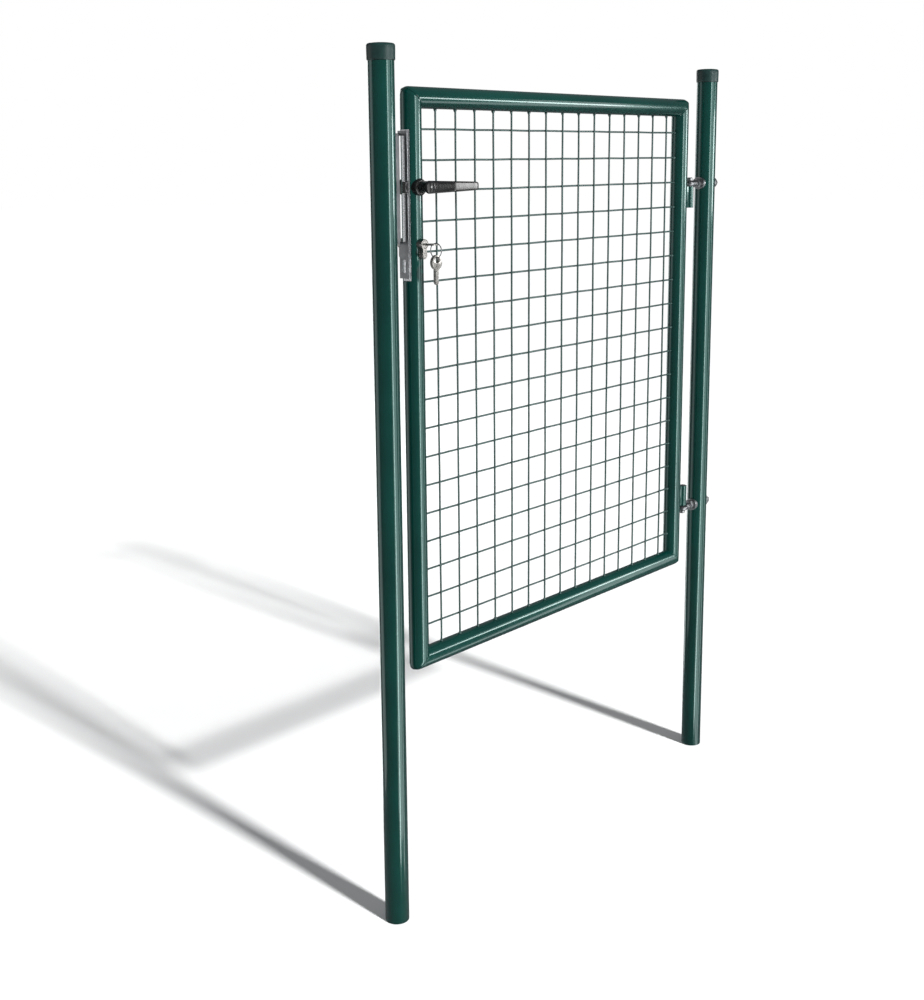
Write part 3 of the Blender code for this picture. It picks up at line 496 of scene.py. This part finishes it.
def build_cap(side):
    """A cap with a barely domed top, a rounded shoulder and a thin skirt."""
    node = side + "_post_cap"
    low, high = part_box(node)
    centre = middle(node)
    radius = (high.x - low.x) / 2
    top = high.z
    shoulder = 0.0040
    lip = 0.0015
    skirt = 0.0216
    axis_gap = 0.0004
    under = top - 0.0056
    profile = [(axis_gap, top - 0.0002), (radius * 0.30, top - 0.00025)]
    profile += [(radius * 0.62, top - 0.0006), (radius - 0.0042, top - 0.0012)]
    profile += arc((radius - shoulder, top - 0.0052), shoulder, math.radians(78), 0.0, 6)
    profile += [(radius, top - 0.0105), (radius - 0.0002, low.z + 0.0055)]
    profile += arc((radius - 0.0017, low.z + 0.0022), lip, 0.0, math.radians(-90), 4)
    profile += [(skirt, low.z + 0.0006), (skirt, under), (axis_gap, under)]
    bm = bmesh.new()
    profile_loop(bm, profile, (centre.x, centre.y, 0.0), (0, 0, 1), 72)
    finish_piece(node + "_moulding", mesh_from(bm, node), [node], angle=50.0)


# Leaf


def frame_rings(radius):
    """Rings of the leaf's tube all the way round, mitred inside and rounded outside its corners."""
    corners = [
        (LOCK_X, BOTTOM_Z, -1, -1), (HINGE_X, BOTTOM_Z, 1, -1),
        (HINGE_X, TOP_Z, 1, 1), (LOCK_X, TOP_Z, -1, 1),
    ]
    rings = []
    for number, (x, z, sx, sz) in enumerate(corners):
        for step in range(CORNER_STEPS + 1):
            turn = math.radians(90.0 * (step / CORNER_STEPS))
            across, upward = math.cos(turn), math.sin(turn)
            if number % 2:
                across, upward = upward, across
            ring = []
            for k in range(FRAME_SIDES):
                angle = 2 * math.pi * k / FRAME_SIDES
                out = radius * math.cos(angle)
                depth = radius * math.sin(angle)
                bend = CORNER_FILLET * (out + radius) / (2 * radius)
                px = x + sx * (out - bend + bend * across)
                pz = z + sz * (out - bend + bend * upward)
                ring.append(Vector((px, LEAF_Y + depth, pz)))
            rings.append(ring)
    return rings


def build_leaf_frame():
    """The frame, with the lock stile hollow, flattened at the forend and cut open behind it."""
    bm = bmesh.new()
    loft(bm, frame_rings(TUBE), closed=True)
    tube = solid(bm, "leaf_tube")
    low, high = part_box("lock_forend")
    play = 0.0003
    half = (high.y - low.y) / 2 + play
    z_low, z_high = low.z - play, high.z + play
    back = high.x + 0.0002 + 0.012
    hollow = bar((LOCK_X, LEAF_Y, BOTTOM_Z), (LOCK_X, LEAF_Y, TOP_Z), TUBE - WALL, 64)
    flat = block((low.x - 0.02, LEAF_Y - 0.02, z_low), (low.x, LEAF_Y + 0.02, z_high), "flat")
    seat = block((low.x - 0.01, LEAF_Y - half, z_low), (back, LEAF_Y + half, z_high), "seat")
    steps = [("DIFFERENCE", cutter) for cutter in (hollow, flat, seat)]
    mesh = combined(tube, steps, "leaf_tube")
    finish_piece("leaf_tube", mesh, ["lock_stile", "hinge_stile", "top_rail", "bottom_rail"], angle=40.0)
    build_mitre_welds()


def build_mitre_welds():
    """A slightly rippled bead of weld along each mitre."""
    rings = frame_rings(TUBE + 0.0001)
    bm = bmesh.new()
    for number in range(4):
        path = rings[number * (CORNER_STEPS + 1) + CORNER_STEPS // 2]
        sweep(bm, path, mitre_bead, 8, closed=True)
    finish_weld(solid(bm, "mitre_welds"))


def mitre_bead(i):
    return 0.00105 + 0.0003 * math.sin(i * 1.9) * math.sin(i * 0.7)


def barrel_bead(i):
    return 0.0019 + 0.0003 * math.sin(i * 2.4)


def finish_weld(obj):
    """A painted weld on the leaf, which stands for no CAD node."""
    obj.data.materials.append(LOOKS["green_paint"])
    obj.data.shade_smooth()
    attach(obj, "gate_leaf")


def build_wires():
    """Upright wires on the leaf's front, cross wires behind them, each a little wavy."""
    columns = [LOCK_X + FIRST_COLUMN + column * MESH_PITCH for column in range(MESH_COLUMNS)]
    rows = [BOTTOM_Z + FIRST_ROW + row * MESH_PITCH for row in range(MESH_ROWS)]
    end = TUBE - 0.0002
    weld_layer = 0.0012
    bm = bmesh.new()
    for column, x in enumerate(columns):
        path = []
        for n, z in enumerate([BOTTOM_Z + end] + rows + [TOP_Z - end]):
            sway = SWAY * math.sin(column * 2.1 + n * 1.3)
            path.append(Vector((x + sway, LEAF_Y - LAYER, z)))
        sweep(bm, path, WIRE_RADIUS, WIRE_SIDES)
        for z, up in ((BOTTOM_Z + TUBE, 1), (TOP_Z - TUBE, -1)):
            weld_drop(bm, (x, LEAF_Y - weld_layer, z), (0, 0, up), column)
    for row, z in enumerate(rows):
        path = []
        for n, x in enumerate([LOCK_X + end] + columns + [HINGE_X - end]):
            sway = SWAY * math.sin(row * 1.7 + n * 2.3)
            path.append(Vector((x, LEAF_Y + LAYER, z + sway)))
        sweep(bm, path, WIRE_RADIUS, WIRE_SIDES)
        for x, inward in ((LOCK_X + TUBE, 1), (HINGE_X - TUBE, -1)):
            weld_drop(bm, (x, LEAF_Y + weld_layer, z), (inward, 0, 0), row + 3)
    finish_piece("wire_panel", mesh_from(bm, "wire_panel"), ["wire_mesh"], angle=60.0)


def weld_drop(bm, centre, axis, seed):
    """The bead where a wire's end is welded to the tube."""
    size = 0.0029 + 0.0004 * math.sin(seed * 2.7)
    profile = [
        (size * 0.55, -0.0006), (size, 0.0002), (size * 0.98, 0.0012),
        (size * 0.80, 0.0026), (WIRE_RADIUS * 1.02, 0.0040),
    ]
    lathe(bm, profile, centre, axis, 14)


# Hinges


def build_eyebolt(level):
    """A forged eye on a shank with grooves for its thread, and its nuts and washers."""
    node = level + "_eyebolt"
    low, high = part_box(node)
    z = middle(node).z
    half = (high.z - low.z) / 2
    bore = 0.0062
    bm = bmesh.new()
    profile = []
    for x, y in arc((0.0, 0.0), half, math.radians(-90), math.radians(90), 9):
        profile.append((bore + max(0.0, x) * 0.95, y * 0.98))
    profile_loop(bm, profile, (PIN_X, LEAF_Y, z), (0, 0, 1), 64)
    eye = solid(bm, "eye")
    start = PIN_X + 0.0095
    length = high.x - start
    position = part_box(node + "_inner_nut")[0].x - 0.006 - start
    profile = [(PLAIN_RADIUS, 0.0), (PLAIN_RADIUS, position - 0.0004)]
    while position < length - 0.0022:
        profile += [(ROOT_RADIUS, position), (CREST_RADIUS, position + THREAD_PITCH * 0.5)]
        position += THREAD_PITCH
    profile += [(ROOT_RADIUS, length - 0.0016), (0.0044, length)]
    bm = bmesh.new()
    lathe(bm, profile, (start, LEAF_Y, z), (1, 0, 0), 32)
    mesh = combined(eye, [("UNION", solid(bm, "shank"))], node)
    finish_piece(node + "_forging", mesh, [node], angle=32.0)
    for side in ("inner", "outer"):
        build_nut(f"{node}_{side}_nut")
        refined(f"{node}_{side}_washer", 0.0007, 3)


def build_nut(node):
    """A hexagon nut, chamfered at both faces."""
    low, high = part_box(node)
    centre = middle(node)
    width = high.x - low.x
    reach = (high.z - low.z) / 2
    bm = bmesh.new()
    lathe(bm, [(reach, 0.0), (reach, width)], (low.x, centre.y, centre.z), (1, 0, 0), 6)
    nut = solid(bm, "nut")
    face = reach * 0.885
    clear = reach * 1.02
    chamfer = 0.0016
    profile = [(face, 0.0), (clear, chamfer), (clear, width - chamfer), (face, width)]
    bm = bmesh.new()
    lathe(bm, profile, (low.x, centre.y, centre.z), (1, 0, 0), 48)
    hole = bar((low.x - 0.01, centre.y, centre.z), (high.x + 0.01, centre.y, centre.z), 0.0060)
    mesh = combined(nut, [("INTERSECT", solid(bm, "trim")), ("DIFFERENCE", hole)], node)
    finish_piece(node + "_shape", mesh, [node], 0.0003, 2)


def build_hinge(level):
    """A barrel with a bead of weld down each side, and its pin."""
    barrel = level + "_hinge_barrel"
    refined(barrel, 0.0009, 3, 40.0)
    low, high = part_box(barrel)
    margin = 0.0015
    steps = 24
    bm = bmesh.new()
    for side in (-1, 1):
        path = []
        for n in range(steps + 1):
            z = low.z + margin + (high.z - low.z - 2 * margin) * n / steps
            path.append(Vector((HINGE_X + TUBE + 0.0002, LEAF_Y + side * 0.0042, z)))
        sweep(bm, path, barrel_bead, 10)
    finish_weld(solid(bm, barrel + "_weld"))
    pin = level + "_hinge_pin"
    low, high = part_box(pin)
    radius = (high.x - low.x) / 2
    length = high.z - low.z
    edge = 0.0011
    profile = [(radius - edge, 0.0), (radius, edge), (radius, length - edge), (radius - edge, length)]
    bm = bmesh.new()
    lathe(bm, profile, (PIN_X, LEAF_Y, low.z), (0, 0, 1), 40)
    finish_piece(pin + "_turned", mesh_from(bm, pin), [pin], 0.0003, 2)


# Lock


def build_forend():
    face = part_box("lock_forend")[0].x
    refined("lock_forend", 0.00045, 2)
    for level in ("upper", "lower"):
        build_screw("forend_screw_" + level, face, 0.35)
    build_screw("cylinder_screw", face, 1.1)
    refined("lock_case", 0.0003, 1)


def build_screw(node, face, angle):
    """A countersunk screw with a cross recess turned by an angle."""
    low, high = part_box(node)
    centre = middle(node)
    head = (high.z - low.z) / 2
    body = head / 1.95
    length = high.x - low.x
    deep = 0.0011
    reach = head * 0.62
    half = 0.00042
    bm = bmesh.new()
    profile = [
        (head * 0.35, 0.0001), (head * 0.80, 0.0), (head, 0.0003), (body, 0.0003 + head - body),
        (body, length - 0.001), (body * 0.6, length),
    ]
    lathe(bm, profile, (face, centre.y, centre.z), (1, 0, 0), 40)
    screw = solid(bm, node)
    steps = []
    for turn in (angle, angle + math.pi / 2):
        cutter = block((-0.01, -reach, -half), (deep, reach, half), "recess")
        place_there = Matrix.Translation((face, centre.y, centre.z))
        cutter.data.transform(place_there @ Matrix.Rotation(turn, 4, "X"))
        steps.append(("DIFFERENCE", cutter))
    finish_piece(node + "_shape", combined(screw, steps, node), [node], angle=40.0)


def build_rose(side, outward):
    """A domed rose, hollowed where it sits on the stile."""
    node = side + "_rose"
    low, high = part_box(node)
    radius = (high.x - low.x) / 2
    face = (LEAF_Y - low.y) if outward < 0 else (high.y - LEAF_Y)
    edge = 0.0030
    dish = face - 0.0006
    profile = [(radius, 0.008), (radius, face - edge)]
    profile += arc((radius - edge, face - edge), edge, 0.0, math.radians(80), 5)
    profile += [(radius * 0.72, face - 0.00005), (radius * 0.70, dish), (0.0045, dish)]
    bm = bmesh.new()
    lathe(bm, profile, (LOCK_X, LEAF_Y, LEVER_Z), (0, outward, 0), 56)
    rose = solid(bm, node)
    seat = bar((LOCK_X, LEAF_Y, LEVER_Z - 0.03), (LOCK_X, LEAF_Y, LEVER_Z + 0.03), TUBE + 0.0002, 72)
    hole = bar((LOCK_X, LEAF_Y - 0.03, LEVER_Z), (LOCK_X, LEAF_Y + 0.03, LEVER_Z), 0.0060)
    mesh = combined(rose, [("DIFFERENCE", seat), ("DIFFERENCE", hole)], node)
    finish_piece(node + "_moulding", mesh, [node], angle=38.0)


def lever_section(x, reach, root, tip, inner, outer, outward):
    """A rounded section of the lever's blade at x from the spindle, squarer along the grip."""
    part = max(0.0, x) / reach
    half = root + (tip - root) * part
    lean = max(0.0, min(1.0, (GRIP_START - x) / (GRIP_START - 0.010)))
    step = 0.0003 if x < GRIP_START - 0.0012 else 0.0
    face = outer - GRIP_RISE * lean - step
    power = 0.30 if x > GRIP_START - 0.0006 else 0.62
    middle_y = (inner + face) / 2
    deep = (face - inner) / 2
    end = reach - x
    if end < tip:
        shrink = math.sqrt(max(0.0, 1 - ((tip - end) / tip) ** 2))
        half *= 0.35 + 0.65 * shrink
        deep *= 0.55 + 0.45 * shrink
    ring = []
    sides = 40
    for k in range(sides):
        angle = 2 * math.pi * k / sides
        c, s = math.cos(angle), math.sin(angle)
        z = half * math.copysign(abs(s) ** power, s)
        y = deep * math.copysign(abs(c) ** power, c)
        ring.append(Vector((LOCK_X + x, LEAF_Y + outward * (middle_y + y), LEVER_Z + z)))
    return ring


def build_lever(side, outward):
    """A lever in one piece: tapered blade, round head over the spindle and stepped neck."""
    node = side + "_lever"
    low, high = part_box(node)
    reach = high.x - LOCK_X
    root = (high.z - low.z) / 2
    tip = 0.0070
    outer = (LEAF_Y - low.y) if outward < 0 else (high.y - LEAF_Y)
    inner = outer - 0.009
    stations = [-root * 0.2 + (reach + root * 0.2) * n / 44 for n in range(41)]
    stations += [GRIP_START - before for before in (0.0013, 0.0003)]
    stations += [reach - before for before in (0.0055, 0.0035, 0.0018, 0.0007, 0.0001)]
    stations = sorted(set(round(s, 6) for s in stations))
    bm = bmesh.new()
    loft(bm, [lever_section(x, reach, root, tip, inner, outer, outward) for x in stations])
    blade = solid(bm, node)
    head = bmesh.new()
    edge = 0.0020
    face = outer - GRIP_RISE
    profile = [(root - edge, inner), (root, inner + edge), (root, face - edge)]
    profile += [(root - edge * 0.4, face - edge * 0.35), (root - edge, face)]
    lathe(head, profile, (LOCK_X, LEAF_Y, LEVER_Z), (0, outward, 0), 56)
    neck = bmesh.new()
    neck_start = (LEAF_Y - high.y) if outward < 0 else (low.y - LEAF_Y)
    collar = 0.0088
    waist = 0.0084
    profile = [
        (collar, neck_start), (collar, neck_start + 0.0035), (waist, neck_start + 0.0042),
        (waist, inner - 0.003), (0.0092, inner - 0.001), (0.0098, inner + 0.001),
    ]
    lathe(neck, profile, (LOCK_X, LEAF_Y, LEVER_Z), (0, outward, 0), 48)
    mesh = combined(blade, [("UNION", solid(head, "head")), ("UNION", solid(neck, "neck"))], node)
    finish_piece(node + "_moulding", mesh, [node], angle=42.0)


def build_lock_inside():
    refined("lever_spindle", 0.0003, 1)
    refined("lock_follower", 0.0003, 2)
    refined("latch_bolt", 0.0005, 3)
    refined("deadbolt", 0.0007, 3)
    refined("cylinder_cam", 0.0003, 2)
    refined("latch_spring", 0.0)


def build_cylinder():
    refined("cylinder_body", 0.0004, 2, 40.0)
    for node in ("front_plug", "back_plug"):
        refined(node, 0.0003, 2)


# Keys


def key_outlines():
    """A key about its bow's centre, blade along +Y: outline and hole, with cuts along one edge."""
    bow = KEY_BOW_RADIUS
    blade = 0.0041
    length = 0.0245
    opening = math.asin(blade / bow)
    outline = arc((0.0, 0.0), bow, math.pi / 2 + opening, 2.5 * math.pi - opening, 49)
    start = bow + 0.004
    outline.append((blade, start))
    cut_spacing = 0.0033
    cut_half = 0.0005
    for number, depth in enumerate((0.0, 0.0016, 0.0006, 0.0021, 0.0011)):
        y = start + 0.0022 + number * cut_spacing
        outline += [(blade - depth, y - cut_half), (blade - depth, y + cut_half)]
    end = bow + length
    outline += [(blade - 0.0008, end - 0.0025), (0.0006, end), (-0.0010, end), (-blade, end - 0.0035)]
    count = 32
    hole = arc((0.0, -0.004), 0.005, 0.0, -2 * math.pi * (count - 1) / count, count)
    return [outline, hole]


def build_key(node, matrix):
    mesh = flat_shape(node, key_outlines(), KEY_THICKNESS, matrix, edge=0.0003)
    finish_piece(node + "_shape", mesh, [node], angle=45.0)


def build_keys():
    bow_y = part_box("inserted_key")[0].y + KEY_BOW_RADIUS
    build_key("inserted_key", Matrix.Translation((LOCK_X, bow_y, CYLINDER_Z)))
    hang = Matrix.Rotation(-math.pi / 2, 4, "X")
    for node in ("spare_key_one", "spare_key_two"):
        low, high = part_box(node)
        bow = Vector((LOCK_X, (low.y + high.y) / 2, high.z - KEY_BOW_RADIUS))
        build_key(node, Matrix.Translation(bow) @ hang)
    build_key_ring()


def build_key_ring():
    """Two turns of wire, side by side."""
    centre = middle("key_ring")
    low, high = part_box("key_ring")
    radius = (high.z - low.z) / 2 - 0.0010
    count = 72
    bm = bmesh.new()
    for offset in (-COIL_OFFSET, COIL_OFFSET):
        path = []
        for n in range(count):
            angle = 2 * math.pi * n / count
            out = Vector((offset, radius * math.sin(angle), radius * math.cos(angle)))
            path.append(centre + out)
        sweep(bm, path, COIL_RADIUS, 10, closed=True)
    finish_piece("key_ring_coil", mesh_from(bm, "key_ring"), ["key_ring"], angle=60.0)


build_post("lock")
build_post("hinge")
build_leaf_frame()
build_wires()
for level in ("upper", "lower"):
    build_eyebolt(level)
    build_hinge(level)
refined("strike_plate", 0.0005, 2)
build_forend()
build_rose("front", -1)
build_rose("back", 1)
build_lever("front", -1)
build_lever("back", 1)
build_lock_inside()
build_cylinder()
build_keys()


# Floor, light and camera


def build_floor():
    """Plain pale ground just under the posts, which doesn't show in the gloss."""
    bm = bmesh.new()
    bmesh.ops.create_circle(bm, cap_ends=True, segments=96, radius=40.0)
    floor = solid(bm, "floor")
    material, nodes, links, shader = new_material("floor_white")
    vector = place(nodes, links)
    tone = noise(nodes, links, vector, scale=3.0, detail=3.0)
    greys = [(0.2, (0.885, 0.885, 0.885)), (0.8, (0.905, 0.905, 0.905))]
    links.new(ramp(nodes, links, tone, greys), shader.inputs["Base Color"])
    shader.inputs["Roughness"].default_value = 0.8
    shader.inputs["Specular IOR Level"].default_value = 0.1
    floor.data.materials.append(material)
    floor.location.z = -0.0006
    floor.visible_glossy = False


def build_world():
    """White behind the object, and dimmer light all round it: one grey for gloss, one for the rest."""
    world = bpy.data.worlds.new("studio")
    bpy.context.scene.world = world
    world.use_nodes = True
    nodes = world.node_tree.nodes
    links = world.node_tree.links
    background = nodes["Background"]
    path = nodes.new("ShaderNodeLightPath")
    tone = nodes.new("ShaderNodeMix")
    tone.data_type = "RGBA"
    tone.inputs["A"].default_value = (0.21, 0.215, 0.22, 1.0)
    tone.inputs["B"].default_value = (0.13, 0.135, 0.14, 1.0)
    links.new(path.outputs["Is Glossy Ray"], tone.inputs["Factor"])
    seen = nodes.new("ShaderNodeMix")
    seen.data_type = "RGBA"
    seen.inputs["B"].default_value = (1.0, 1.0, 1.0, 1.0)
    links.new(path.outputs["Is Camera Ray"], seen.inputs["Factor"])
    links.new(tone.outputs["Result"], seen.inputs["A"])
    links.new(seen.outputs["Result"], background.inputs["Color"])
    background.inputs["Strength"].default_value = 1.0


LOOK_AT = (0.0, 0.0, 0.9)


def aim(obj, target):
    obj.rotation_euler = (Vector(target) - obj.location).to_track_quat("-Z", "Y").to_euler()


def soft_box(name, location, width, height, power):
    """A shadowless panel turned to the leaf, never seen by the camera."""
    light = bpy.data.lights.new(name, "AREA")
    light.shape = "RECTANGLE"
    light.size = width
    light.size_y = height
    light.energy = power
    light.use_shadow = False
    obj = bpy.data.objects.new(name, light)
    bpy.context.scene.collection.objects.link(obj)
    obj.location = location
    obj.visible_camera = False
    aim(obj, LOOK_AT)
    return obj


def build_lights():
    """A key from the front for light and shadow, gloss-only panels, and a fill behind without gloss."""
    sun = bpy.data.lights.new("key", "SUN")
    sun.energy = 6.3
    sun.angle = math.radians(5.0)
    key = bpy.data.objects.new("key", sun)
    bpy.context.scene.collection.objects.link(key)
    key.location = (-0.4, -4.0, 2.28)
    aim(key, (0.0, 0.0, 0.0))
    key.visible_glossy = False
    # name, location, width, height and power
    panels = (
        ("front_strip", (0.05, -3.2, -0.3), 0.34, 6.4, 62.0),
        ("side_panel", (0.74, -3.20, -0.3), 2.6, 6.0, 98.0),
        ("right_strip", (2.70, -1.90, -0.3), 0.55, 6.0, 20.0),
        ("right_panel", (2.53, -2.18, 1.30), 0.90, 0.42, 13.0),
        ("back_panel", (-1.90, 2.30, 0.3), 1.6, 4.2, 17.0),
        ("rear_panel", (1.70, 3.40, 0.3), 1.0, 4.2, 26.0),
    )
    for name, location, width, height, power in panels:
        panel = soft_box(name, location, width, height, power)
        panel.visible_diffuse = False
    fill = soft_box("rear_fill", (1.2, 4.8, 0.5), width=3.4, height=0.8, power=100.0)
    fill.visible_glossy = False


SENSOR = 36.0
FOCAL_WIDTHS = 1.374
EYE = (-2.1055, -1.5482, 1.3263)
YAW = 48.97
PITCH = 11.18
ROLL = -0.50


def build_camera():
    """A viewpoint a little below eye height, on the lock side, turned towards the hinge side."""
    data = bpy.data.cameras.new("camera")
    camera = bpy.data.objects.new("camera", data)
    bpy.context.scene.collection.objects.link(camera)
    data.sensor_width = SENSOR
    data.lens = FOCAL_WIDTHS * SENSOR
    data.shift_y = -0.07
    data.clip_end = 200.0
    yaw, pitch, roll = (math.radians(degrees) for degrees in (YAW, PITCH, ROLL))
    forward = Vector((math.sin(yaw) * math.cos(pitch), math.cos(yaw) * math.cos(pitch), -math.sin(pitch)))
    right = Vector((math.cos(yaw), -math.sin(yaw), 0.0))
    up = right.cross(forward)
    turned_right = math.cos(roll) * right + math.sin(roll) * up
    turned_up = math.cos(roll) * up - math.sin(roll) * right
    matrix = Matrix((turned_right, turned_up, -forward)).transposed().to_4x4()
    camera.matrix_world = Matrix.Translation(EYE) @ matrix
    bpy.context.scene.camera = camera


build_floor()
build_world()
build_lights()
build_camera()
bpy.context.scene.view_settings.view_transform = "Standard"
